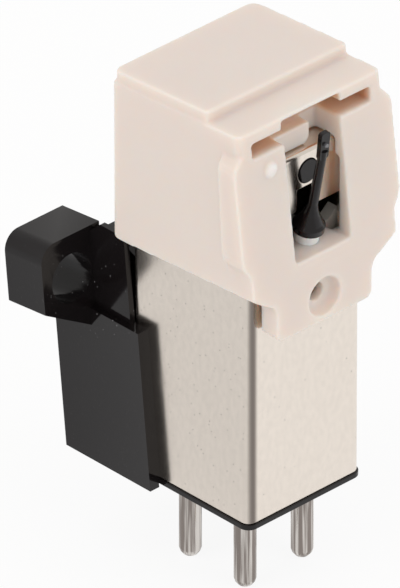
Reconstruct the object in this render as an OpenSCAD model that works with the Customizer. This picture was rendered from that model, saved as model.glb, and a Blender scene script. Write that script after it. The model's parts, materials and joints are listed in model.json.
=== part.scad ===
/* [Shield can] */
// Width of the drawn can, across the record
can_w = 8.75; // [8.25:0.05:8.85]
// Depth of the can, from the record side to the headshell side
can_d = 9.45; // [9.2:0.05:9.5]
// Height of the can's closed end above the pin tips
can_top_z = 28.6; // [27.8:0.1:28.6]
// Height of the can's open end above the pin tips
can_bottom_z = 5.9; // [5.5:0.1:6.5]
// Sheet thickness of the can
can_wall = 0.35; // [0.25:0.05:0.4]
// Outside radius of the can's upright corners
can_corner_r = 0.55; // [0.4:0.05:0.8]

/* [Front of the can] */
// Radius of the round hole that the coil former's peg shows through
peg_hole_r = 0.74; // [0.7:0.02:0.8]
// Sideways offset of the peg
peg_x = 0.2; // [0:0.05:0.3]
// Height of the peg above the pin tips
peg_z = 27.25; // [27:0.05:27.4]
// Half-width of the magnet opening
magnet_opening_hw = 2.75; // [2.4:0.05:2.8]
// Bottom of the magnet opening
magnet_opening_z0 = 20.9; // [20.5:0.1:21]
// Top of the magnet opening
magnet_opening_z1 = 24.9; // [24.6:0.1:25.2]
// Top of the narrow notch above the magnet opening
notch_z1 = 26.3; // [25.6:0.1:26.3]

/* [Terminals] */
// Distance between pins, both ways
pin_pitch = 4.45; // [4.2:0.05:4.6]
// Pin diameter
pin_d = 1.3; // [1.2:0.05:1.4]
// Height of the pins' upper ends
pin_top_z = 8.6; // [8:0.1:8.8]
// Length of a pin's bullet end
pin_nose_h = 0.55; // [0.3:0.05:0.8]
// Thickness of the terminal plate's rim
plate_rim_t = 0.32; // [0.2:0.02:0.5]
// How far the rim stands past the can
plate_rim_lap = 0.1; // [0.05:0.05:0.2]

/* [Mounting bracket] */
// Distance between the two mounting holes
ear_pitch = 12.7; // [12.7:0.1:12.8]
// Height of the mounting holes, measured up the mounting plane
ear_hole_z = 17.4; // [17.2:0.05:17.8]
// Mounting hole diameter
ear_hole_d = 3; // [2.6:0.05:3.1]
// Overall width across the ears
ear_span = 17.05; // [16.5:0.05:17.4]
// Thickness of an ear, along its hole
ear_t = 3; // [2.5:0.1:3.2]
// Height of the ears' top faces
ear_top_z = 20.05; // [19.8:0.05:20.4]
// Lean of the mounting plane
mount_tilt = 5.6; // [4:0.1:7]
// Depth of the mounting plane at its reference height
mount_y = 10.2; // [9.8:0.05:10.5]
// Outside half-width of the lower cheeks
cheek_hw = 5.17; // [4.9:0.01:5.4]
// Top of the lower cheeks
cheek_top_z = 15.3; // [15:0.05:15.8]
// Bottom of the lower cheeks
cheek_bottom_z = 5.35; // [5:0.05:5.5]
// Top of the thin upper walls
wall_top_z = 20.75; // [20:0.05:20.8]
// Thickness of the thin upper walls
wall_t = 0.36; // [0.3:0.02:0.5]

/* [Stylus holder] */
// Half-width of the hood
hood_hw = 5.5; // [5.3:0.05:5.7]
// Depth of the hood's back edge
hood_back_y = 5.15; // [4.9:0.05:5.3]
// Height of the raised top panel above the pin tips, at the centre
panel_z = 32.2; // [32:0.05:32.4]
// Step from the top panel down to the ledge
panel_step = 0.72; // [0.5:0.02:0.9]
// Front edge of the raised top panel
panel_front_y = -2.5; // [-3:0.1:-2]
// Height of the hood's lower rim at the centre
rim_z = 21.35; // [21:0.05:21.6]
// Slope of the top and of the rim
hood_slope = 3.4; // [0:0.1:4]
// Lean of the front plate's face
face_tilt = 7.3; // [6:0.1:8]
// Depth of the front face at its reference height
face_y = -5.2; // [-5.4:0.05:-5.1]
// Half-width of the front plate across its wings
wing_hw = 6.05; // [5.9:0.05:6.3]
// Half-width of the tongue
tongue_hw = 3.65; // [3.4:0.05:3.8]
// Bottom of the tongue
tongue_z = 18.35; // [18:0.05:18.6]
// Half-width of the stylus window
window_hw = 2.12; // [2:0.02:2.2]
// Bottom of the stylus window
window_z = 22.8; // [22.4:0.05:22.85]
// Half-width of the slot across the window's top
slot_hw = 4.55; // [4.2:0.05:4.7]
// Bottom of the slot
slot_z0 = 30.15; // [30.05:0.05:30.25]
// Top of the slot
slot_z1 = 31.05; // [30.9:0.05:31.1]

/* [Stylus] */
// Lean of the cantilever
lever_tilt = 12.2; // [10:0.2:14]
// Length of the cantilever ahead of its pivot
lever_l = 7.2; // [6.8:0.05:7.4]
// Radius of the cantilever's rod
lever_r = 0.3; // [0.25:0.01:0.35]
// Radius of the cantilever's flared base
lever_base_r = 0.94; // [0.85:0.01:1]
// Height of the damper's centre
pivot_z = 23.4; // [23.3:0.05:23.5]
// Depth of the damper's centre
pivot_y = -4.87; // [-4.9:0.01:-4.8]

/* [Hidden] */

// Colours of the moulded and metal parts
cream = [0.89, 0.85, 0.81];
gloss_black = [0.06, 0.05, 0.06];
nickel = [0.80, 0.78, 0.74];
tin = [0.72, 0.71, 0.68];
copper = [0.62, 0.30, 0.16];
steel = [0.55, 0.55, 0.56];

// The can and what closes it
can_inner_w = can_w - 2 * can_wall;
can_inner_d = can_d - 2 * can_wall;
can_front_y = -can_d / 2;
can_back_y = can_d / 2;
plate_plug_top_z = 7.6;
notch_x0 = -0.62;
notch_x1 = 0.75;

// Pins are a little thinner from just under the plate upwards
pin_neck_z = 5.3;
pin_neck = 0.05;

// Heights inside the can
flange_t = 1;
flange_z = 9;
coil_z0 = flange_z + flange_t;
coil_z1 = 19;
former_head_z = 22.5;
former_front_y = -1.6;
former_corner_r = 0.3;
head_post_y = 1.2;
leg_bore_h = 15;
post_w = 1.2;
peg_out = 0.05;
peg_gap = 0.04;
inside_gap = 0.05;

// Cores and coils, given for the right-hand channel
core_x = 1.7;
core_t = 1;
core_leg_hd = 0.8;
core_arm_z = 21;
core_arm_h = 1.2;
core_shoe_z = 23;
core_shoe_top_z = 23.58;
core_shoe_mid_x = 2.25;
core_shoe_x1 = 2.95;
core_shoe_t = 0.7;
core_shoe_y = -4.2;
coil_hw = 1.42;
coil_hd = 2.1;
coil_corner_r = 0.7;
lead_r = 0.06;
lead_y = 1.95;
screen_t = 0.24;
screen_d = 6.8;

// Mounting plane: depth at any height, and the ears
mount_ref_z = 15;
cheek_d = 6.87;
wall_d = 5.82;
wall_back_z = 20;
wall_ramp = 0.85;
back_plate_t = 1.2;
back_plate_top_z = 17.5;
floor_t = 1;
rib_t = 1;
ear_inner_x = 4;
ear_low_z = 15.9;
ear_root_z = 13.6;
ear_corner_r = 1.1;
ear_root_rise = 0.35;

// Hood and front plate
hood_corner_r = 0.5;
socket_gap = 0.08;
socket_hw = can_w / 2 + socket_gap;
socket_front_y = can_front_y - socket_gap;
socket_step_z = can_top_z + socket_gap;
cross_wall_y0 = -3.3;
cross_wall_y1 = -2.5;
roof_t = 0.95;
panel_inset = 0.08;
panel_front_r = 0.3;
panel_back_r = 0.6;
panel_root = 0.3;
ledge_corner_r = 0.5;
face_ref_z = 31;
tongue_face_z = 22;
wing_root_y = -4.3;
lintel_t = 1.07;
lintel_notch_hw = 2.25;
lintel_skin_t = 0.2;
wing_top_z = 29.9;
wing_step_z = 30.5;
wing_low_z = 23.9;
wing_cut = 0.12;
plate_top_z = 31.6;
plate_edge_z = 31.4;
plate_back_y = -3.75;
edge_cut = 0.35;
tongue_root_z = 20.4;
tongue_cut = 0.3;
tongue_back_y = -4.95;
tongue_back_z = 19;
tongue_hole_z = 19.88;
tongue_hole_r = 1.2;
tongue_pilot_r = 0.55;
tongue_recess_depth = 0.75;
pip_x = -3.35;
pip_z = 29.1;
pip_r = 0.48;
pip_h = 0.2;
stop_x0 = -2.5;
stop_x1 = 0.8;
stop_front_y = -4.25;
stop_top_z = 30;
stop_cut = 0.3;
recess_hw = 2.65;
recess_front_y = -5.15;
recess_top_z = 27.57;
shelf_hw = 1.8;
shelf_z0 = 21.15;
shelf_z1 = 22.9;
shelf_back_y = -4.3;
shelf_set_back = 0.4;
boss_back_y = -3.9;
boss_r = 0.7;
boss_low = -1.9;
boss_bore_r = 0.2;

// Stylus suspension, measured along the cantilever from its pivot
damper_half_t = 0.35;
damper_r = 0.72;
damper_bore_r = 0.1;
base_t = 0.36;
flare_end = 2.15;
flat_start = 5.65;
flat_w = 0.66;
flat_t = 0.3;
flat_corner_r = 0.16;
flat_bend = -6;
flat_root = 0.2;
magnet_w = 0.36;
magnet_l = 0.55;
magnet_offset = 0.5;
wire_r = 0.05;
wire_recess_r = 0.16;
wire_recess_depth = 0.4;
wire_end_gap = 0.08;
anchor_r = 0.28;
anchor_low = -1.9;
anchor_top = -1.05;
tip_shank_r = 0.13;
tip_at = 0.78;
tip_shank_l = 0.13;
tip_cone_l = 0.13;
tip_point_r = 0.02;

// Small overlap where two solids or cuts meet
lap = 0.1;

round_fn = 48;
small_fn = 32;

function face_at(z) = face_y - tan(face_tilt) * (face_ref_z - max(z, tongue_face_z));
function mount_at(z) = mount_y + tan(mount_tilt) * (z - mount_ref_z);
function panel_at(y) = panel_z - tan(hood_slope) * y;
function ledge_at(y) = panel_at(y) - panel_step;
function rim_at(y) = rim_z - tan(hood_slope) * y;

// A rectangle w by d with round corners, centred on its own middle
module round_rect(w, d, r) {
    square([w - 2 * r, d], center = true);
    square([w, d - 2 * r], center = true);
    for (sx = [-1, 1], sy = [-1, 1])
        translate([sx * (w / 2 - r), sy * (d / 2 - r)]) circle(r = r, $fn = round_fn);
}

// A side profile, drawn in Y and Z, made solid from x0 to x1
module side_profile(x0, x1, points) {
    translate([x0, 0, 0]) rotate([90, 0, 90]) linear_extrude(x1 - x0) polygon(points);
}

// A front outline, drawn in X and Z, made solid from y0 back to y1
module front_outline(y0, y1) {
    translate([0, y1, 0]) rotate([90, 0, 0]) linear_extrude(y1 - y0) children();
}

// Places what follows in the cantilever's own frame, with Z along the rod
module lever_frame() {
    translate([0, pivot_y, pivot_z]) rotate([lever_tilt, 0, 0]) children();
}

// One of the two magnets, as a solid and as the pocket that holds it
module magnet(side) {
    lever_frame() rotate([0, 0, side > 0 ? 45 : 135])
        translate([magnet_offset - magnet_w / 2, -magnet_w / 2, damper_half_t])
            cube([magnet_w, magnet_w, magnet_l]);
}

// Hood of the holder: side walls, roof and ledge, with round upright corners
module hood_body() {
    intersection() {
        translate([0, (hood_back_y + face_at(tongue_face_z)) / 2 - 0.5, 0])
            linear_extrude(panel_z + 2)
                round_rect(2 * hood_hw, hood_back_y - face_at(tongue_face_z) + 1, hood_corner_r);
        side_profile(-hood_hw, hood_hw, [
            [hood_back_y, rim_at(hood_back_y)],
            [hood_back_y, ledge_at(hood_back_y)],
            [face_at(ledge_at(face_y)), ledge_at(face_y)],
            [face_at(tongue_face_z), tongue_face_z],
            [face_at(tongue_face_z), rim_at(face_at(tongue_face_z))]
        ]);
    }
}

// Raised panel on the roof, a sloping slab with four round corners
module top_panel() {
    w = 2 * (hood_hw - panel_inset);
    d = hood_back_y - panel_inset - panel_front_y;
    translate([0, 0, panel_z]) rotate([-hood_slope, 0, 0])
        translate([0, (hood_back_y - panel_inset + panel_front_y) / 2, -panel_step - panel_root])
            linear_extrude(panel_step + panel_root) intersection() {
                round_rect(w, d, panel_front_r);
                translate([0, -1]) round_rect(w, d + 2, panel_back_r);
            }
}

// What the round front corners of the ledge leave out, square to the leaning face
module ledge_corner_cuts() {
    for (sx = [-1, 1])
        translate([sx * (hood_hw - ledge_corner_r), face_at(face_ref_z), face_ref_z])
            rotate([-face_tilt, 0, 0]) translate([0, ledge_corner_r, wing_step_z - face_ref_z])
                linear_extrude(2) difference() {
                    scale([sx, 1, 1]) translate([0, -1]) square(1);
                    circle(r = ledge_corner_r, $fn = round_fn);
                }
}

// Right half of the shield-shaped plate, seen from the record side
plate_half = [
    [0, plate_edge_z], [hood_hw - edge_cut, plate_edge_z],
    [hood_hw, plate_edge_z - edge_cut], [hood_hw, wing_step_z],
    [wing_hw - wing_cut, wing_top_z + 0.1], [wing_hw, wing_top_z - 0.25], [wing_hw, 24.3],
    [wing_hw - wing_cut, 23.85], [5.6, 23.35], [5.5, 22.9], [5.45, 21.95],
    [5.32, 21.62], [5, 21.4], [4.4, 21], [4, 20.8], [3.76, 20.5], [tongue_hw, 20.1],
    [tongue_hw, tongue_z + tongue_cut], [tongue_hw - tongue_cut, tongue_z], [0, tongue_z]
];

// Shield-shaped front plate with its leaning face, wings and tongue
module front_plate() {
    intersection() {
        front_outline(-8, plate_back_y) {
            polygon(plate_half);
            mirror([1, 0]) polygon(plate_half);
        }
        side_profile(-wing_hw, wing_hw, [
            [face_at(tongue_z), tongue_z],
            [face_at(tongue_face_z), tongue_face_z],
            [face_at(plate_top_z), plate_top_z],
            [face_at(plate_top_z) + lintel_t, plate_top_z],
            [wing_root_y + 0.4, wing_step_z],
            [wing_root_y, wing_low_z],
            [wing_root_y - 0.3, tongue_root_z + 0.2],
            [tongue_back_y, tongue_root_z],
            [tongue_back_y, tongue_z]
        ]);
    }
}

// Dished recess and pilot hole in the tongue, drawn along Y
module tongue_hole() {
    translate([0, face_at(tongue_z), tongue_hole_z]) rotate([-90, 0, 0])
        rotate_extrude($fn = round_fn) polygon([
            [0, -1], [tongue_hole_r, -1], [tongue_hole_r, tongue_recess_depth * 0.25],
            [tongue_hole_r * 0.93, tongue_recess_depth * 0.6],
            [tongue_hole_r * 0.75, tongue_recess_depth * 0.9],
            [tongue_pilot_r, tongue_recess_depth], [tongue_pilot_r, 3], [0, 3]
        ]);
}

// Low round-topped pip on the leaning face
module pip() {
    translate([pip_x, face_at(pip_z), pip_z]) rotate([90 + face_tilt, 0, 0])
        rotate_extrude($fn = round_fn) polygon([
            [0, -0.3], [pip_r, -0.3], [pip_r, 0], [pip_r * 0.9, pip_h * 0.5],
            [pip_r * 0.65, pip_h * 0.85], [pip_r * 0.3, pip_h], [0, pip_h]
        ]);
}

// Everything taken out of the holder: the socket for the can, the window, the slot and the notch
module holder_cuts() {
    ceiling_z = ledge_at(cross_wall_y1) - roof_t;
    lintel_back_y = face_at(slot_z0) + lintel_t;
    side_profile(-socket_hw, socket_hw, [
        [socket_front_y, tongue_back_z],
        [socket_front_y, socket_step_z],
        [cross_wall_y1, socket_step_z],
        [cross_wall_y1, ceiling_z],
        [hood_back_y + 1, ceiling_z],
        [hood_back_y + 1, tongue_back_z]
    ]);
    front_outline(-8, socket_front_y + 0.01)
        translate([-window_hw, window_z]) square([2 * window_hw, slot_z0 - window_z]);
    front_outline(-8, cross_wall_y0)
        translate([-window_hw, socket_step_z]) square([2 * window_hw, slot_z0 - socket_step_z + 0.01]);
    front_outline(recess_front_y, socket_front_y + 0.01)
        translate([-recess_hw, window_z]) square([2 * recess_hw, recess_top_z - window_z]);
    front_outline(-8, cross_wall_y0)
        translate([-slot_hw, slot_z0]) square([2 * slot_hw, slot_z1 - slot_z0]);
    side_profile(-lintel_notch_hw, lintel_notch_hw, [
        [-8, slot_z1 - lap],
        [-8, ledge_at(face_y) - lintel_skin_t],
        [face_at(face_ref_z), ledge_at(face_y) - lintel_skin_t],
        [lintel_back_y, ledge_at(face_y) - 2 * lintel_skin_t],
        [lintel_back_y, slot_z1 - lap]
    ]);
    ledge_corner_cuts();
    tongue_hole();
}

// Stop over the can's top edge, on the front of the cross wall
module can_stop() {
    front_outline(stop_front_y, cross_wall_y0 + 0.01) polygon([
        [stop_x0, socket_step_z], [stop_x1 - stop_cut, socket_step_z], [stop_x1, socket_step_z + stop_cut],
        [stop_x1, stop_top_z], [stop_x0, stop_top_z]
    ]);
}

// Cream moulding that clips over the front of the can and carries the stylus
module stylus_holder() color(cream) {
    difference() {
        union() {
            difference() {
                union() {
                    hood_body();
                    top_panel();
                    front_plate();
                }
                holder_cuts();
            }
            can_stop();
            side_profile(-shelf_hw, shelf_hw, [
                [face_at(shelf_z0) + shelf_set_back, shelf_z0],
                [face_at(shelf_z0) + shelf_set_back, window_z],
                [socket_front_y - 0.5, shelf_z1],
                [shelf_back_y, shelf_z1],
                [shelf_back_y, shelf_z0]
            ]);
            intersection() {
                lever_frame() translate([0, 0, boss_low])
                    cylinder(r = boss_r, h = -damper_half_t - boss_low, $fn = round_fn);
                translate([-2, -8, shelf_z0]) cube([4, 8 + boss_back_y, 3]);
            }
            pip();
        }
        lever_frame() {
            translate([0, 0, boss_low - 0.5])
                cylinder(r = anchor_r, h = anchor_top - boss_low + 0.5, $fn = round_fn);
            translate([0, 0, anchor_top - 0.01])
                cylinder(r = boss_bore_r, h = 2, $fn = round_fn);
        }
    }
}

// Black moulded rod with a flared base and a flattened end
module cantilever() color(gloss_black) {
    difference() {
        lever_frame() {
            translate([0, 0, damper_half_t]) rotate_extrude($fn = round_fn) polygon([
                [0, 0], [lever_base_r, 0], [lever_base_r, base_t],
                [lever_base_r - 0.14, base_t + 0.18], [0.5, 1.1], [0.37, 1.45],
                [lever_r, flare_end - damper_half_t], [lever_r * 0.85, flat_start],
                [0, flat_start]
            ]);
            translate([0, 0, flat_start]) rotate([flat_bend, 0, 0]) {
                translate([0, flat_t / 2, (lever_l - flat_start - flat_root) / 2]) rotate([90, 0, 0])
                    linear_extrude(flat_t)
                        round_rect(flat_w, lever_l - flat_start + flat_root, flat_corner_r);
            }
        }
        magnet(-1);
        magnet(1);
        lever_frame() cylinder(r = wire_recess_r, h = damper_half_t + wire_recess_depth, $fn = small_fn);
        tip_shank();
    }
}

// Round shank of the diamond, also cut from the rod's flat
module tip_shank() {
    lever_frame() translate([0, 0, flat_start]) rotate([flat_bend, 0, 0])
        translate([0, flat_t / 2, tip_at]) rotate([90, 0, 0])
            cylinder(r = tip_shank_r, h = flat_t + tip_shank_l, $fn = small_fn);
}

// Diamond stylus, set through the flat end and ground to a cone
module diamond_tip() color([0.75, 0.78, 0.8]) {
    tip_shank();
    lever_frame() translate([0, 0, flat_start]) rotate([flat_bend, 0, 0])
        translate([0, -flat_t / 2 - tip_shank_l, tip_at]) rotate([90, 0, 0])
            cylinder(r1 = tip_shank_r, r2 = tip_point_r, h = tip_cone_l, $fn = small_fn);
}

// Soft white ring that the cantilever's base rests on
module damper_ring() color([0.93, 0.93, 0.92])
    lever_frame() difference() {
        translate([0, 0, -damper_half_t]) cylinder(r = damper_r, h = 2 * damper_half_t, $fn = round_fn);
        translate([0, 0, -1]) cylinder(r = damper_bore_r, h = 2, $fn = small_fn);
    }

module magnet_left() color(steel) magnet(-1);

module magnet_right() color(steel) magnet(1);

// Thin wire that ties the cantilever back through the damper
module suspension_wire() color(steel)
    lever_frame() translate([0, 0, anchor_low])
        cylinder(r = wire_r, h = damper_half_t + wire_recess_depth - wire_end_gap - anchor_low, $fn = small_fn);

// Small sleeve in the holder's boss that grips the wire
module wire_anchor() color(tin)
    lever_frame() difference() {
        translate([0, 0, anchor_low]) cylinder(r = anchor_r, h = anchor_top - anchor_low, $fn = round_fn);
        translate([0, 0, anchor_low - 1]) cylinder(r = wire_r, h = 4, $fn = small_fn);
    }

// Drawn nickel-plated can, closed at the top, with its front cut-outs
module shield_can() color(nickel) {
    difference() {
        translate([0, 0, can_bottom_z]) linear_extrude(can_top_z - can_bottom_z)
            round_rect(can_w, can_d, can_corner_r);
        translate([0, 0, can_bottom_z - 1]) linear_extrude(can_top_z - can_wall - can_bottom_z + 1)
            round_rect(can_inner_w, can_inner_d, can_corner_r - can_wall);
        front_outline(can_front_y - 1, can_front_y + 1) {
            translate([-magnet_opening_hw, magnet_opening_z0])
                square([2 * magnet_opening_hw, magnet_opening_z1 - magnet_opening_z0]);
            translate([notch_x0, magnet_opening_z1 - lap])
                square([notch_x1 - notch_x0, notch_z1 - magnet_opening_z1 + lap]);
            translate([peg_x, peg_z]) circle(r = peg_hole_r, $fn = round_fn);
        }
    }
}

// Black moulding in the can: two flanges, four posts, the head and its peg
module coil_former() color(gloss_black) {
    former_w = can_inner_w - 2 * inside_gap;
    former_d = can_inner_d - 2 * inside_gap;
    difference() {
        union() {
            for (z = [flange_z, coil_z1]) translate([0, 0, z]) linear_extrude(flange_t)
                round_rect(former_w, former_d, former_corner_r);
            for (sx = [-1, 1], sy = [-1, 1])
                translate([sx * (former_w - post_w) / 2 - post_w / 2, sy * (former_d - post_w) / 2 - post_w / 2, coil_z0])
                    cube([post_w, post_w, coil_z1 - coil_z0]);
            for (sx = [-1, 1])
                translate([sx * (former_w - post_w) / 2 - post_w / 2, head_post_y, coil_z1])
                    cube([post_w, former_d / 2 - head_post_y, former_head_z - coil_z1 + 0.5]);
            translate([-former_w / 2, former_front_y, former_head_z])
                cube([former_w, former_d / 2 - former_front_y, can_top_z - can_wall - inside_gap - former_head_z]);
            translate([peg_x, former_front_y, peg_z]) rotate([90, 0, 0])
                cylinder(r = peg_hole_r - peg_gap, h = former_front_y - can_front_y + peg_out, $fn = round_fn);
        }
        for (sx = [-1, 1]) {
            translate([sx * core_x - core_t / 2, -core_leg_hd, flange_z - 1])
                cube([core_t, 2 * core_leg_hd, leg_bore_h]);
            for (sy = [-1, 1]) translate([sx * pin_pitch / 2, sy * lead_y, flange_z - 1])
                cylinder(r = lead_r, h = 3, $fn = small_fn);
        }
    }
}

// Wound coil on one leg
module coil(side) {
    translate([side * core_x, 0, coil_z0]) linear_extrude(coil_z1 - coil_z0) difference() {
        round_rect(2 * coil_hw, 2 * coil_hd, coil_corner_r);
        square([core_t, 2 * core_leg_hd], center = true);
    }
}

module coil_left() color(copper) coil(-1);

module coil_right() color(copper) coil(1);

// Soft-iron core: a leg up the coil, an arm forward and a shoe with a slanted top beside the magnets
module core(side) {
    side_profile(side * core_x - core_t / 2, side * core_x + core_t / 2, [
        [-core_leg_hd, flange_z],
        [core_leg_hd, flange_z],
        [core_leg_hd, core_arm_z + core_arm_h],
        [core_shoe_y, core_arm_z + core_arm_h],
        [core_shoe_y, core_arm_z],
        [-core_leg_hd, core_arm_z]
    ]);
    front_outline(core_shoe_y, core_shoe_y + core_shoe_t) polygon([
        [side * (core_x - core_t / 2), core_arm_z],
        [side * core_shoe_x1, core_arm_z],
        [side * core_shoe_x1, core_shoe_top_z],
        [side * core_shoe_mid_x, core_shoe_z],
        [side * (core_x - core_t / 2), core_shoe_z]
    ]);
}

module core_left() color(steel) core(-1);

module core_right() color(steel) core(1);

// Thin screen between the two coils
module channel_shield() color(nickel)
    translate([-screen_t / 2, -screen_d / 2, coil_z0]) cube([screen_t, screen_d, coil_z1 - coil_z0]);

// Four enamelled wires from the coils to the pins
module coil_leads() color(copper)
    for (sx = [-1, 1], sy = [-1, 1])
        translate([sx * pin_pitch / 2, sy * lead_y, pin_top_z])
            cylinder(r = lead_r, h = coil_z0 - pin_top_z, $fn = small_fn);

// Black plate that closes the can and holds the pins
module terminal_plate() color(gloss_black) {
    difference() {
        union() {
            translate([0, 0, can_bottom_z - plate_rim_t]) linear_extrude(plate_rim_t)
                round_rect(can_w + 2 * plate_rim_lap, can_d + 2 * plate_rim_lap, can_corner_r + plate_rim_lap);
            translate([0, 0, can_bottom_z]) linear_extrude(plate_plug_top_z - can_bottom_z)
                round_rect(can_inner_w, can_inner_d, can_corner_r - can_wall);
        }
        for (sx = [-1, 1], sy = [-1, 1])
            translate([sx * pin_pitch / 2, sy * pin_pitch / 2, 0]) cylinder(r = pin_d / 2 - pin_neck, h = 20, $fn = round_fn);
    }
}

// Tinned terminal pin with a bullet end
module pin(sx, sy) color(tin)
    translate([sx * pin_pitch / 2, sy * pin_pitch / 2, 0]) rotate_extrude($fn = round_fn) polygon([
        [0, 0], [pin_d * 0.16, 0], [pin_d * 0.33, pin_nose_h * 0.22],
        [pin_d * 0.45, pin_nose_h * 0.6], [pin_d / 2, pin_nose_h], [pin_d / 2, pin_neck_z],
        [pin_d / 2 - pin_neck, pin_neck_z], [pin_d / 2 - pin_neck, pin_top_z], [0, pin_top_z]
    ]);

module pin_left_front() pin(-1, -1);

module pin_left_back() pin(-1, 1);

module pin_right_front() pin(1, -1);

module pin_right_back() pin(1, 1);

// Outline of one ear in the mounting plane, with its round outer corner and sloping underside
module ear_outline(low_z) {
    top = ear_top_z - low_z;
    outer = ear_span / 2;
    polygon([
        [ear_inner_x, ear_root_z - low_z], [cheek_hw, ear_root_z - low_z + ear_root_rise],
        [outer, ear_low_z - low_z], [outer, top - ear_corner_r],
        [outer - ear_corner_r, top - ear_corner_r], [outer - ear_corner_r, top], [ear_inner_x, top]
    ]);
    translate([outer - ear_corner_r, top - ear_corner_r]) circle(r = ear_corner_r, $fn = round_fn);
}

// Both ears, square to the mounting plane, with their holes
module ears() {
    translate([0, mount_at(mount_ref_z), mount_ref_z]) rotate([-mount_tilt, 0, 0])
        for (sx = [-1, 1]) difference() {
            rotate([90, 0, 0]) linear_extrude(ear_t)
                scale([sx, 1, 1]) ear_outline(mount_ref_z);
            translate([sx * ear_pitch / 2, 1, ear_hole_z - mount_ref_z]) rotate([90, 0, 0])
                cylinder(d = ear_hole_d, h = ear_t + 2, $fn = round_fn);
        }
}

// One wall of the bracket: a side profile from its front edge to the mounting plane
module bracket_wall(x0, x1, front, z0, z1) {
    side_profile(x0, x1, [
        [mount_at(z0) - front, z0],
        [mount_at(z0), z0],
        [mount_at(z1), z1],
        [mount_at(z1) - front, z1]
    ]);
}

// Glossy black tray bonded round the can, with two mounting ears
module mounting_bracket() color(gloss_black) {
    wall_x = can_w / 2 + wall_t;
    difference() {
        union() {
            for (sx = [-1, 1]) {
                cheek_x = sx > 0 ? can_w / 2 : -cheek_hw;
                upper_x = sx > 0 ? can_w / 2 : -wall_x;
                bracket_wall(cheek_x, cheek_x + cheek_hw - can_w / 2, cheek_d, cheek_bottom_z, cheek_top_z);
                side_profile(upper_x, upper_x + wall_t, [
                    [mount_at(cheek_top_z) - wall_d, cheek_top_z],
                    [mount_at(cheek_top_z), cheek_top_z],
                    [mount_at(wall_back_z), wall_back_z],
                    [mount_at(wall_back_z) - ear_t, wall_back_z],
                    [mount_at(wall_back_z) - ear_t - wall_ramp, wall_top_z],
                    [mount_at(wall_top_z) - wall_d, wall_top_z]
                ]);
            }
            bracket_wall(-can_w / 2, can_w / 2, back_plate_t, cheek_bottom_z, back_plate_top_z);
            side_profile(-can_w / 2, can_w / 2, [
                [can_back_y, cheek_bottom_z], [mount_at(cheek_bottom_z), cheek_bottom_z],
                [mount_at(cheek_bottom_z + floor_t), cheek_bottom_z + floor_t],
                [can_back_y, cheek_bottom_z + floor_t]
            ]);
            side_profile(-rib_t / 2, rib_t / 2, [
                [can_back_y, cheek_bottom_z], [mount_at(cheek_bottom_z), cheek_bottom_z],
                [mount_at(back_plate_top_z) - lap, back_plate_top_z - 0.5],
                [can_back_y, back_plate_top_z - 3]
            ]);
            ears();
        }
        translate([0, 0, can_bottom_z - 1]) linear_extrude(1)
            round_rect(can_w + 2 * plate_rim_lap, can_d + 2 * plate_rim_lap, can_corner_r + plate_rim_lap);
    }
}

stylus_holder();
cantilever();
diamond_tip();
damper_ring();
magnet_left();
magnet_right();
suspension_wire();
wire_anchor();
shield_can();
coil_former();
coil_left();
coil_right();
core_left();
core_right();
channel_shield();
coil_leads();
terminal_plate();
pin_left_front();
pin_left_back();
pin_right_front();
pin_right_back();
mounting_bracket();
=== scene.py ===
import json
import math

import bpy
from mathutils import Matrix, Vector

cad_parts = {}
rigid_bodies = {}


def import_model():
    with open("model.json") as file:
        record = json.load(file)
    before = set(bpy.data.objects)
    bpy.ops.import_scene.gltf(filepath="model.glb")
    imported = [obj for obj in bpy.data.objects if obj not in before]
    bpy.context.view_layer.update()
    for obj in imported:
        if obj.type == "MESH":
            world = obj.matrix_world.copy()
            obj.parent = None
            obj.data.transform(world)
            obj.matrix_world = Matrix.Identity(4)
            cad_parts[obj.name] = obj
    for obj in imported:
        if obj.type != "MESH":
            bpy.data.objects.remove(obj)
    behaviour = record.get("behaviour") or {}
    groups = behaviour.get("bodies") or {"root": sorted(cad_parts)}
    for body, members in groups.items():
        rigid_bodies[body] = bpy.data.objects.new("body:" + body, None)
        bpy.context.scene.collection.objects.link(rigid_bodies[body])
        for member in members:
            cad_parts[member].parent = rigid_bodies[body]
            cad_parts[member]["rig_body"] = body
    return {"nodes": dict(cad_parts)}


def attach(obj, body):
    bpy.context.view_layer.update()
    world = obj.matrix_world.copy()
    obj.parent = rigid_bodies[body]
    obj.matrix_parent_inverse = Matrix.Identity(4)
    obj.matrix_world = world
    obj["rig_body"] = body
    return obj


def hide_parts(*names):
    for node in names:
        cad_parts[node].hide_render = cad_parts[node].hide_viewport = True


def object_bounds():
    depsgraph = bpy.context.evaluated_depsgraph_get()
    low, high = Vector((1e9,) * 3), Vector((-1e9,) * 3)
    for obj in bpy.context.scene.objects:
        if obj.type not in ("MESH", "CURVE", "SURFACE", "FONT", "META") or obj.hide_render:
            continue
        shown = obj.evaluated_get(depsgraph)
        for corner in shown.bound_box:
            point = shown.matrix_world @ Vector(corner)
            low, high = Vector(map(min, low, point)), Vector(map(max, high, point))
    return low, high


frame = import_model()
nodes = frame["nodes"]
cad_low, cad_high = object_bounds()

# Camera: a long lens a little under a metre away, looking down on the left and record sides of
# the cartridge. Its place and turn come from the corners that the photograph shows.
mm = 0.001
camera_place = Vector((-520.392, -541.394, 479.393)) * mm
camera_azimuth = math.radians(43.67)
camera_elevation = math.radians(31.61)
camera_roll = math.radians(-0.10)
camera_lens = 967.3
sensor_width = 36.0
nearest_seen = 0.05
farthest_seen = 20.0

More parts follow.
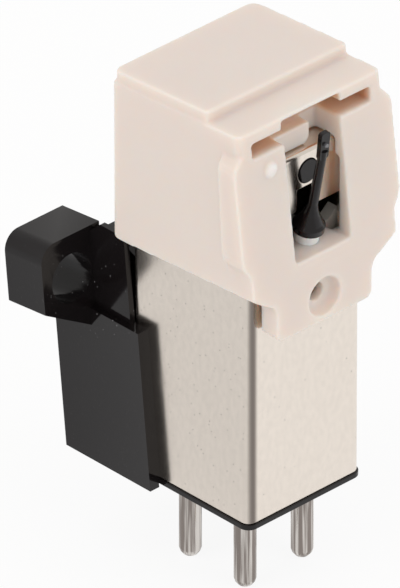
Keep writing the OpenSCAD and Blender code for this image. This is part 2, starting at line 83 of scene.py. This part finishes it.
camera_data = bpy.data.cameras.new("camera")
camera = bpy.data.objects.new("camera", camera_data)
bpy.context.scene.collection.objects.link(camera)
bpy.context.scene.camera = camera
camera_data.lens = camera_lens
camera_data.sensor_width = sensor_width
camera_data.clip_start = nearest_seen
camera_data.clip_end = farthest_seen
looking = Vector((
    math.sin(camera_azimuth) * math.cos(camera_elevation),
    math.cos(camera_azimuth) * math.cos(camera_elevation),
    -math.sin(camera_elevation),
))
level_turn = looking.to_track_quat("-Z", "Y")
camera.rotation_mode = "QUATERNION"
camera.rotation_quaternion = level_turn @ Matrix.Rotation(camera_roll, 3, "Z").to_quaternion()
camera.location = camera_place

# Floor: a wide pale sheet just under the pins. The camera, metal and glass see it as white, and
# the rest of it keeps the cartridge's shadow. Metal sees its left half a little darker.
floor_size = 4.0
floor_gap = 0.02 * mm
floor_colour = (0.93, 0.93, 0.93, 1.0)
white_share = 0.9
dim_left = 0.78
dim_from = -14.0 * mm
dim_to = 4.0 * mm

bpy.ops.object.select_all(action="DESELECT")
bpy.ops.mesh.primitive_plane_add(size=floor_size, location=(0, 0, cad_low.z - floor_gap))
floor = bpy.context.object
floor.name = "floor"


def new_material(name):
    """An empty node material, with its node tree and its output node."""
    material = bpy.data.materials.new(name)
    material.use_nodes = True
    material.node_tree.nodes.clear()
    output = material.node_tree.nodes.new("ShaderNodeOutputMaterial")
    return material, material.node_tree, output


def joined(tree, *steps):
    """Links each pair (socket out, socket in) in a node tree."""
    for start, end in steps:
        tree.links.new(start, end)


def maths(tree, operation, second=None):
    """A Math node, with its second value where that is fixed."""
    node = tree.nodes.new("ShaderNodeMath")
    node.operation = operation
    if second is not None:
        node.inputs[1].default_value = second
    return node


def ramp(tree, start, end, low=0.0, high=1.0, eased=False):
    """A Map Range node that runs from low at start to high at end."""
    node = tree.nodes.new("ShaderNodeMapRange")
    node.inputs["From Min"].default_value = start
    node.inputs["From Max"].default_value = end
    node.inputs["To Min"].default_value = low
    node.inputs["To Max"].default_value = high
    if eased:
        node.interpolation_type = "SMOOTHSTEP"
    return node


floor_material, tree, output = new_material("pale_floor")
light_path = tree.nodes.new("ShaderNodeLightPath")
seen = maths(tree, "MAXIMUM")
seen_through = maths(tree, "MAXIMUM")
share = maths(tree, "MULTIPLY", white_share)
matt = tree.nodes.new("ShaderNodeBsdfDiffuse")
matt.inputs["Color"].default_value = floor_colour
white = tree.nodes.new("ShaderNodeEmission")
ground = tree.nodes.new("ShaderNodeTexCoord")
ground_sides = tree.nodes.new("ShaderNodeSeparateXYZ")
fall_off = ramp(tree, dim_from, dim_to, dim_left, 1.0)
level = maths(tree, "MAXIMUM")
mix = tree.nodes.new("ShaderNodeMixShader")
joined(
    tree,
    (ground.outputs["Object"], ground_sides.inputs[0]),
    (ground_sides.outputs["X"], fall_off.inputs["Value"]),
    (fall_off.outputs[0], level.inputs[0]),
    (light_path.outputs["Is Camera Ray"], level.inputs[1]),
    (level.outputs[0], white.inputs["Strength"]),
    (light_path.outputs["Is Camera Ray"], seen.inputs[0]),
    (light_path.outputs["Is Glossy Ray"], seen.inputs[1]),
    (seen.outputs[0], seen_through.inputs[0]),
    (light_path.outputs["Is Transmission Ray"], seen_through.inputs[1]),
    (seen_through.outputs[0], share.inputs[0]),
    (share.outputs[0], mix.inputs["Fac"]),
    (matt.outputs[0], mix.inputs[1]),
    (white.outputs[0], mix.inputs[2]),
    (mix.outputs[0], output.inputs["Surface"]),
)
floor.data.materials.append(floor_material)

# Light: an even pale surround that does most of the lighting, and two large soft lamps that only
# shape the hood. The lamps don't show in gloss and metal.
surround_colour = (1.0, 0.985, 0.965, 1.0)
surround_level = 0.77
lamp_size = 0.45

world = bpy.data.worlds.new("surround")
bpy.context.scene.world = world
world.use_nodes = True
surround = world.node_tree.nodes["Background"]
surround.inputs["Color"].default_value = surround_colour
surround.inputs["Strength"].default_value = surround_level


def soft_lamp(name, place, power):
    """A square lamp that faces the middle of the cartridge."""
    lamp_data = bpy.data.lights.new(name, "AREA")
    lamp_data.size = lamp_size
    lamp_data.energy = power
    lamp = bpy.data.objects.new(name, lamp_data)
    bpy.context.scene.collection.objects.link(lamp)
    middle = (cad_low + cad_high) / 2
    lamp.visible_glossy = False
    lamp.location = place
    lamp.rotation_euler = (middle - Vector(place)).to_track_quat("-Z", "Y").to_euler()


soft_lamp("left_lamp", (-0.55, 0.10, 0.40), 1.0)
soft_lamp("front_lamp", (0.15, -0.60, 0.40), 0.9)


# Shared finish: fine moulding or rolling grain. It puts out a height for a Bump node, a roughness
# that varies softly over the surface, and the soft cloud behind it.
def group_of(name, inputs, outputs):
    """An empty node group with its sockets, and its input and output nodes."""
    group = bpy.data.node_groups.new(name, "ShaderNodeTree")
    for label, kind, value in inputs:
        socket = group.interface.new_socket(label, in_out="INPUT", socket_type=kind)
        socket.default_value = value
    for label, kind in outputs:
        group.interface.new_socket(label, in_out="OUTPUT", socket_type=kind)
    return group, group.nodes.new("NodeGroupInput"), group.nodes.new("NodeGroupOutput")


cloud_scale = 260.0
cloud_detail = 2.0
grain_detail = 3.0

fine_grain, given, result = group_of(
    "fine_grain",
    [
        ("Scale", "NodeSocketFloat", 4000.0),
        ("Stretch", "NodeSocketVector", (1.0, 1.0, 1.0)),
        ("Low", "NodeSocketFloat", 0.3),
        ("High", "NodeSocketFloat", 0.4),
    ],
    [
        ("Height", "NodeSocketFloat"),
        ("Roughness", "NodeSocketFloat"),
        ("Cloud", "NodeSocketFloat"),
    ],
)
place = fine_grain.nodes.new("ShaderNodeTexCoord")
stretch = fine_grain.nodes.new("ShaderNodeVectorMath")
stretch.operation = "MULTIPLY"
grain = fine_grain.nodes.new("ShaderNodeTexNoise")
grain.inputs["Detail"].default_value = grain_detail
cloud = fine_grain.nodes.new("ShaderNodeTexNoise")
cloud.inputs["Scale"].default_value = cloud_scale
cloud.inputs["Detail"].default_value = cloud_detail
spread = ramp(fine_grain, 0.3, 0.7)
joined(
    fine_grain,
    (place.outputs["Object"], stretch.inputs[0]),
    (given.outputs["Stretch"], stretch.inputs[1]),
    (stretch.outputs[0], grain.inputs["Vector"]),
    (given.outputs["Scale"], grain.inputs["Scale"]),
    (place.outputs["Object"], cloud.inputs["Vector"]),
    (cloud.outputs["Fac"], spread.inputs["Value"]),
    (given.outputs["Low"], spread.inputs["To Min"]),
    (given.outputs["High"], spread.inputs["To Max"]),
    (grain.outputs["Fac"], result.inputs["Height"]),
    (spread.outputs[0], result.inputs["Roughness"]),
    (cloud.outputs["Fac"], result.inputs["Cloud"]),
)

# Shared finish: scattered specks, such as dust on gloss black or pin-holes in the plating. Scale
# sets how close they lie, and Share how many of the places hold one.
speck_radius = 0.1

specks, given, result = group_of(
    "specks",
    [
        ("Scale", "NodeSocketFloat", 900.0),
        ("Share", "NodeSocketFloat", 0.1),
    ],
    [("Mask", "NodeSocketFloat")],
)
place = specks.nodes.new("ShaderNodeTexCoord")
cells = specks.nodes.new("ShaderNodeTexVoronoi")
cells.inputs["Randomness"].default_value = 1.0
small = maths(specks, "LESS_THAN", speck_radius)
apart = specks.nodes.new("ShaderNodeSeparateColor")
chosen = maths(specks, "LESS_THAN")
both = maths(specks, "MULTIPLY")
joined(
    specks,
    (place.outputs["Object"], cells.inputs["Vector"]),
    (given.outputs["Scale"], cells.inputs["Scale"]),
    (cells.outputs["Distance"], small.inputs[0]),
    (cells.outputs["Color"], apart.inputs["Color"]),
    (apart.outputs["Red"], chosen.inputs[0]),
    (given.outputs["Share"], chosen.inputs[1]),
    (small.outputs[0], both.inputs[0]),
    (chosen.outputs[0], both.inputs[1]),
    (both.outputs[0], result.inputs["Mask"]),
)


def grouped(tree, group, **values):
    """Places a node group in a material, with its input values."""
    node = tree.nodes.new("ShaderNodeGroup")
    node.node_tree = group
    for label, value in values.items():
        node.inputs[label].default_value = value
    return node


def blend(tree, first=None, second=None):
    """A colour Mix node, with the colours that are fixed."""
    node = tree.nodes.new("ShaderNodeMix")
    node.data_type = "RGBA"
    if first is not None:
        node.inputs["A"].default_value = first
    if second is not None:
        node.inputs["B"].default_value = second
    return node


def relief(tree, strength, depth):
    """A Bump node."""
    node = tree.nodes.new("ShaderNodeBump")
    node.inputs["Strength"].default_value = strength
    node.inputs["Distance"].default_value = depth
    return node


def distance_from(tree, point):
    """A Vector Math node that measures how far a place is from a point."""
    node = tree.nodes.new("ShaderNodeVectorMath")
    node.operation = "DISTANCE"
    node.inputs[1].default_value = point
    return node


def mirrored_place(tree):
    """A Vector Math node that folds both halves of the cartridge onto one."""
    node = tree.nodes.new("ShaderNodeVectorMath")
    node.operation = "ABSOLUTE"
    return node


# Stylus holder: one injection moulding in cream plastic, slightly translucent, that clips over
# the front of the can. Its edges run soft, the slots behind its front plate carry a painted
# orange-brown shade, and the small pip on the plate is paler.
holder_voxel = 0.09
holder_passes = 9
holder_faces_kept = 0.35
merge_distance = 0.002

slot_half_width = (4.6 * mm, 4.8 * mm)
slot_depth = (5.12 * mm, 4.65 * mm)
slot_floor = (29.95 * mm, 30.25 * mm)
slot_roof = (31.62 * mm, 31.55 * mm)
# Painted shade: this orange-brown stands in for the shadow, and the light through the plastic, deep
# in the slots.
slot_shade_colour = (0.72, 0.45, 0.27, 1.0)
pip_place = (-3.35 * mm, -5.42 * mm, 29.1 * mm)
pip_radius = (0.34 * mm, 0.54 * mm)
pip_paleness = 0.6
pip_colour = (0.95, 0.91, 0.89, 1.0)
cream_dark = (0.790, 0.705, 0.650, 1.0)
cream_light = (0.810, 0.725, 0.670, 1.0)


def copy_to_shape(node, name):
    """A copy of a CAD node in millimetres with its doubles merged, left in edit mode."""
    mesh = nodes[node].data.copy()
    mesh.materials.clear()
    piece = bpy.data.objects.new(name, mesh)
    bpy.context.scene.collection.objects.link(piece)
    mesh.transform(Matrix.Scale(1 / mm, 4))
    bpy.ops.object.select_all(action="DESELECT")
    piece.select_set(True)
    bpy.context.view_layer.objects.active = piece
    bpy.ops.object.mode_set(mode="EDIT")
    bpy.ops.mesh.select_mode(type="EDGE")
    bpy.ops.mesh.select_all(action="SELECT")
    bpy.ops.mesh.remove_doubles(threshold=merge_distance)
    return piece


def put_in_place(piece, node, material):
    """Brings a shaped copy back to metres, with its finish, to stand for its CAD node."""
    piece.data.transform(Matrix.Scale(mm, 4))
    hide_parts(node)
    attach(piece, nodes[node]["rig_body"])
    piece.data.materials.append(material)


cream_plastic, tree, output = new_material("cream_plastic")
plastic = tree.nodes.new("ShaderNodeBsdfPrincipled")
plastic.inputs["Subsurface Weight"].default_value = 1.0
plastic.inputs["Subsurface Radius"].default_value = (1.0, 0.75, 0.6)
plastic.inputs["Subsurface Scale"].default_value = 1.0 * mm
plastic.inputs["IOR"].default_value = 1.49
cream_grain = grouped(tree, fine_grain, Scale=9000.0, Low=0.36, High=0.44)
here = tree.nodes.new("ShaderNodeTexCoord")
both_sides = mirrored_place(tree)
sides = tree.nodes.new("ShaderNodeSeparateXYZ")
across = ramp(tree, *slot_half_width, 1.0, 0.0)
inwards = ramp(tree, *slot_depth)
upwards = ramp(tree, *slot_floor)
under = ramp(tree, *slot_roof)
slot_sides = maths(tree, "MULTIPLY")
slot_heights = maths(tree, "MULTIPLY")
in_slot = maths(tree, "MULTIPLY")
# Painted shade: the slot colour is mixed into the cream wherever the slot mask holds.
painted_slot_shade = blend(tree, second=slot_shade_colour)
from_pip = distance_from(tree, pip_place)
near_pip = ramp(tree, *pip_radius, pip_paleness, 0.0)
pale_pip = blend(tree, second=pip_colour)
tint = blend(tree, cream_dark, cream_light)
bump = relief(tree, 0.06, 0.02 * mm)
joined(
    tree,
    (cream_grain.outputs["Cloud"], tint.inputs["Factor"]),
    (here.outputs["Object"], both_sides.inputs[0]),
    (both_sides.outputs[0], sides.inputs[0]),
    (sides.outputs["X"], across.inputs["Value"]),
    (sides.outputs["Y"], inwards.inputs["Value"]),
    (sides.outputs["Z"], upwards.inputs["Value"]),
    (sides.outputs["Z"], under.inputs["Value"]),
    (across.outputs[0], slot_sides.inputs[0]),
    (inwards.outputs[0], slot_sides.inputs[1]),
    (upwards.outputs[0], slot_heights.inputs[0]),
    (under.outputs[0], slot_heights.inputs[1]),
    (slot_sides.outputs[0], in_slot.inputs[0]),
    (slot_heights.outputs[0], in_slot.inputs[1]),
    (in_slot.outputs[0], painted_slot_shade.inputs["Factor"]),
    (tint.outputs["Result"], painted_slot_shade.inputs["A"]),
    (here.outputs["Object"], from_pip.inputs[0]),
    (from_pip.outputs["Value"], near_pip.inputs["Value"]),
    (near_pip.outputs[0], pale_pip.inputs["Factor"]),
    (painted_slot_shade.outputs["Result"], pale_pip.inputs["A"]),
    (pale_pip.outputs["Result"], plastic.inputs["Base Color"]),
    (cream_grain.outputs["Roughness"], plastic.inputs["Roughness"]),
    (cream_grain.outputs["Height"], bump.inputs["Height"]),
    (bump.outputs["Normal"], plastic.inputs["Normal"]),
    (plastic.outputs[0], output.inputs["Surface"]),
)

holder = copy_to_shape("stylus_holder", "holder_moulding")
bpy.ops.object.mode_set(mode="OBJECT")
skin = holder.modifiers.new("skin", "REMESH")
skin.mode = "VOXEL"
skin.voxel_size = holder_voxel
softening = holder.modifiers.new("softening", "SMOOTH")
softening.factor = 0.5
softening.iterations = holder_passes
thinning = holder.modifiers.new("thinning", "DECIMATE")
thinning.ratio = holder_faces_kept
for step in (skin, softening, thinning):
    bpy.ops.object.modifier_apply(modifier=step.name)
bpy.ops.object.shade_smooth()
put_in_place(holder, "stylus_holder", cream_plastic)

# Black mouldings: the bracket bonded round the can, the plate that closes the can, the coil
# former and the cantilever. All are gloss black plastic, with dust that has settled round the
# ears' holes. Their edges have the small radius of the mould.
flat_limit = 0.5
square_to_run = 0.8
share_of_neighbour = 0.45
widest_radius = 0.4
smooth_limit = 35
rounding_steps = 3
dust_middle = (5.2 * mm, 6.6 * mm, 17.0 * mm)
dust_reach = (1.5 * mm, 3.6 * mm)
dust_left_elsewhere = 0.05
deep_black = (0.0078, 0.0062, 0.0066, 1.0)
dust_colour = (0.45, 0.45, 0.46, 1.0)


def softened(node, name, material, sharp_from, radius_at):
    """A copy of a CAD node with its sharp edges rounded, each by the radius at its place."""
    piece = copy_to_shape(node, name)
    mesh = piece.data
    bpy.ops.mesh.dissolve_limited(angle_limit=math.radians(flat_limit))
    bpy.ops.mesh.select_all(action="DESELECT")
    bpy.ops.mesh.edges_select_sharp(sharpness=math.radians(sharp_from))
    bpy.ops.object.mode_set(mode="OBJECT")
    touching = {}
    for edge in mesh.edges:
        for corner in edge.vertices:
            touching.setdefault(corner, []).append(edge)
    weights = mesh.attributes.new("bevel_weight_edge", "FLOAT", "EDGE")
    for edge in mesh.edges:
        if not edge.select:
            continue
        start, end = (mesh.vertices[corner].co for corner in edge.vertices)
        run = (end - start).normalized()
        radius = radius_at((start + end) / 2)
        for corner in edge.vertices:
            for other in touching[corner]:
                first, last = (mesh.vertices[index].co for index in other.vertices)
                if abs((last - first).normalized().dot(run)) < square_to_run:
                    radius = min(radius, share_of_neighbour * (last - first).length)
        weights.data[edge.index].value = radius / widest_radius
    rounding = piece.modifiers.new("rounding", "BEVEL")
    rounding.width = widest_radius
    rounding.segments = rounding_steps
    rounding.limit_method = "WEIGHT"
    rounding.use_clamp_overlap = True
    bpy.ops.object.modifier_apply(modifier=rounding.name)
    bpy.ops.object.shade_smooth_by_angle(angle=math.radians(smooth_limit))
    evening = piece.modifiers.new("evening", "WEIGHTED_NORMAL")
    evening.weight = 100
    evening.keep_sharp = True
    bpy.ops.object.modifier_apply(modifier=evening.name)
    put_in_place(piece, node, material)


def finish_nodes(material, *names):
    """Gives CAD nodes that stay as they are their material."""
    for name in names:
        nodes[name].data.materials.clear()
        nodes[name].data.materials.append(material)


gloss_black, tree, output = new_material("gloss_black")
plastic = tree.nodes.new("ShaderNodeBsdfPrincipled")
plastic.inputs["IOR"].default_value = 1.38
black_grain = grouped(tree, fine_grain, Scale=5000.0, Low=0.08, High=0.16)
dust = grouped(tree, specks, Scale=3600.0, Share=0.5)
here = tree.nodes.new("ShaderNodeTexCoord")
both_sides = mirrored_place(tree)
from_hole = distance_from(tree, dust_middle)
thinning_out = ramp(tree, *dust_reach, 1.0, dust_left_elsewhere)
settled = maths(tree, "MULTIPLY")
tint = blend(tree, deep_black, dust_colour)
bump = relief(tree, 0.03, 0.02 * mm)
joined(
    tree,
    (here.outputs["Object"], both_sides.inputs[0]),
    (both_sides.outputs[0], from_hole.inputs[0]),
    (from_hole.outputs["Value"], thinning_out.inputs["Value"]),
    (dust.outputs["Mask"], settled.inputs[0]),
    (thinning_out.outputs[0], settled.inputs[1]),
    (settled.outputs[0], tint.inputs["Factor"]),
    (tint.outputs["Result"], plastic.inputs["Base Color"]),
    (black_grain.outputs["Roughness"], plastic.inputs["Roughness"]),
    (black_grain.outputs["Height"], bump.inputs["Height"]),
    (bump.outputs["Normal"], plastic.inputs["Normal"]),
    (plastic.outputs[0], output.inputs["Surface"]),
)

finish_nodes(gloss_black, "coil_former", "cantilever")
softened("mounting_bracket", "bracket_moulding", gloss_black, 25, lambda place: 0.12)
softened("terminal_plate", "terminal_plate_moulding", gloss_black, 25, lambda place: 0.09)

# Shield can: drawn from thin sheet and satin nickel plated. Its closed end has the wide radius of
# the drawing, and the plating is faintly mottled with a few pin-holes. A dark reflection is painted
# along the left front corner.
closed_end_from = 28.4
closed_end_radius = 0.35
cut_edge_radius = 0.08
nickel_colour = (0.825, 0.750, 0.675, 1.0)
mark_colour = (0.48, 0.43, 0.38, 1.0)
# Painted reflection: a dark stripe down the left front corner, standing in for dark surroundings
# that the corner reflects.
corner_reflection_colour = (0.22, 0.19, 0.17, 1.0)
mottle_strength = 0.10
reflection_side_span = (-3.60 * mm, -3.95 * mm)
reflection_front_span = (-4.46 * mm, -4.70 * mm)

satin_nickel, tree, output = new_material("satin_nickel")
metal = tree.nodes.new("ShaderNodeBsdfPrincipled")
metal.inputs["Metallic"].default_value = 1.0
nickel_grain = grouped(tree, fine_grain, Scale=3000.0, Stretch=(1.0, 1.0, 0.6), Low=0.17, High=0.25)
pin_holes = grouped(tree, specks, Scale=2500.0, Share=0.12)
tint = blend(tree, nickel_colour, mark_colour)
here = tree.nodes.new("ShaderNodeTexCoord")
sides = tree.nodes.new("ShaderNodeSeparateXYZ")
# Painted reflection: masks for the band at the left front corner, on the left side only, where the
# dark colour goes.
reflection_across_side = ramp(tree, *reflection_side_span, eased=True)
reflection_across_front = ramp(tree, *reflection_front_span, eased=True)
corner = maths(tree, "MULTIPLY")
painted_corner_reflection = blend(tree, second=corner_reflection_colour)
mottle = ramp(tree, 0.35, 0.65, 0.0, mottle_strength)
marked = maths(tree, "MAXIMUM")
bump = relief(tree, 0.12, 0.01 * mm)
joined(
    tree,
    (nickel_grain.outputs["Height"], mottle.inputs["Value"]),
    (mottle.outputs[0], marked.inputs[0]),
    (pin_holes.outputs["Mask"], marked.inputs[1]),
    (marked.outputs[0], tint.inputs["Factor"]),
    (here.outputs["Object"], sides.inputs[0]),
    (sides.outputs["X"], reflection_across_side.inputs["Value"]),
    (sides.outputs["Y"], reflection_across_front.inputs["Value"]),
    (reflection_across_side.outputs[0], corner.inputs[0]),
    (reflection_across_front.outputs[0], corner.inputs[1]),
    (corner.outputs[0], painted_corner_reflection.inputs["Factor"]),
    (tint.outputs["Result"], painted_corner_reflection.inputs["A"]),
    (painted_corner_reflection.outputs["Result"], metal.inputs["Base Color"]),
    (nickel_grain.outputs["Roughness"], metal.inputs["Roughness"]),
    (nickel_grain.outputs["Height"], bump.inputs["Height"]),
    (bump.outputs["Normal"], metal.inputs["Normal"]),
    (metal.outputs[0], output.inputs["Surface"]),
)


def can_radius(place):
    """The wide radius near the can's closed end, and a fine one at its cut edges."""
    return closed_end_radius if place.z > closed_end_from else cut_edge_radius


softened("shield_can", "can_shell", satin_nickel, 30, can_radius)

# Terminal pins and the sleeve on the tie wire: drawn wire pressed into the plate, and a crimped
# sleeve, both tinned by dipping, which leaves light and dark streaks along them.
tin_dark = (0.26, 0.225, 0.205, 1.0)
tin_light = (0.72, 0.68, 0.64, 1.0)

bright_tin, tree, output = new_material("bright_tin")
metal = tree.nodes.new("ShaderNodeBsdfPrincipled")
metal.inputs["Metallic"].default_value = 1.0
tin_grain = grouped(tree, fine_grain, Scale=3600.0, Stretch=(1.0, 1.0, 0.035), Low=0.14, High=0.34)
streaks = ramp(tree, 0.42, 0.58)
tint = blend(tree, tin_dark, tin_light)
bump = relief(tree, 0.35, 0.05 * mm)
joined(
    tree,
    (tin_grain.outputs["Height"], streaks.inputs["Value"]),
    (streaks.outputs[0], tint.inputs["Factor"]),
    (tint.outputs["Result"], metal.inputs["Base Color"]),
    (tin_grain.outputs["Roughness"], metal.inputs["Roughness"]),
    (tin_grain.outputs["Height"], bump.inputs["Height"]),
    (bump.outputs["Normal"], metal.inputs["Normal"]),
    (metal.outputs[0], output.inputs["Surface"]),
)
finish_nodes(bright_tin, "pin_left_front", "pin_left_back", "pin_right_front", "pin_right_back")
finish_nodes(bright_tin, "wire_anchor")

# Damper: a ring of soft white elastomer that the cantilever's base sits in. It is moulded, matt,
# and lets a little light in.
white_elastomer, tree, output = new_material("white_elastomer")
rubber = tree.nodes.new("ShaderNodeBsdfPrincipled")
rubber.inputs["Base Color"].default_value = (0.80, 0.80, 0.80, 1.0)
rubber.inputs["Roughness"].default_value = 0.6
rubber.inputs["Subsurface Weight"].default_value = 0.3
rubber.inputs["Subsurface Scale"].default_value = 0.3 * mm
joined(tree, (rubber.outputs[0], output.inputs["Surface"]))
finish_nodes(white_elastomer, "damper_ring")


# Magnets, cores, screen and tie wire: ground magnets in the cantilever's base, annealed sheet for
# the cores and the screen, and drawn steel wire. All have a dull, pale grey surface.
def rolled_metal(name, metallic, colour):
    """A metal with a plain colour and a soft, uneven sheen."""
    material, tree, output = new_material(name)
    metal = tree.nodes.new("ShaderNodeBsdfPrincipled")
    metal.inputs["Metallic"].default_value = metallic
    metal.inputs["Base Color"].default_value = colour
    sheen = grouped(tree, fine_grain, Scale=6000.0, Low=0.25, High=0.4)
    joined(
        tree,
        (sheen.outputs["Roughness"], metal.inputs["Roughness"]),
        (metal.outputs[0], output.inputs["Surface"]),
    )
    return material


dull_steel = rolled_metal("dark_steel", 0.3, (0.82, 0.78, 0.72, 1.0))
finish_nodes(dull_steel, "magnet_left", "magnet_right", "suspension_wire")
finish_nodes(dull_steel, "core_left", "core_right", "channel_shield")

# Coils and their leads: fine enamelled copper wire, wound on the former's arms and led down to
# the four pins.
copper_wire = rolled_metal("copper_wire", 1.0, (0.70, 0.30, 0.14, 1.0))
finish_nodes(copper_wire, "coil_left", "coil_right", "coil_leads")

# Stylus: a small polished stone, set in the flattened end of the cantilever and held there with
# resin.
diamond, tree, output = new_material("diamond")
stone = tree.nodes.new("ShaderNodeBsdfPrincipled")
stone.inputs["Base Color"].default_value = (0.10, 0.10, 0.11, 1.0)
stone.inputs["Roughness"].default_value = 0.05
stone.inputs["IOR"].default_value = 2.4
joined(tree, (stone.outputs[0], output.inputs["Surface"]))
finish_nodes(diamond, "diamond_tip")

bpy.context.scene.view_settings.view_transform = "Standard"
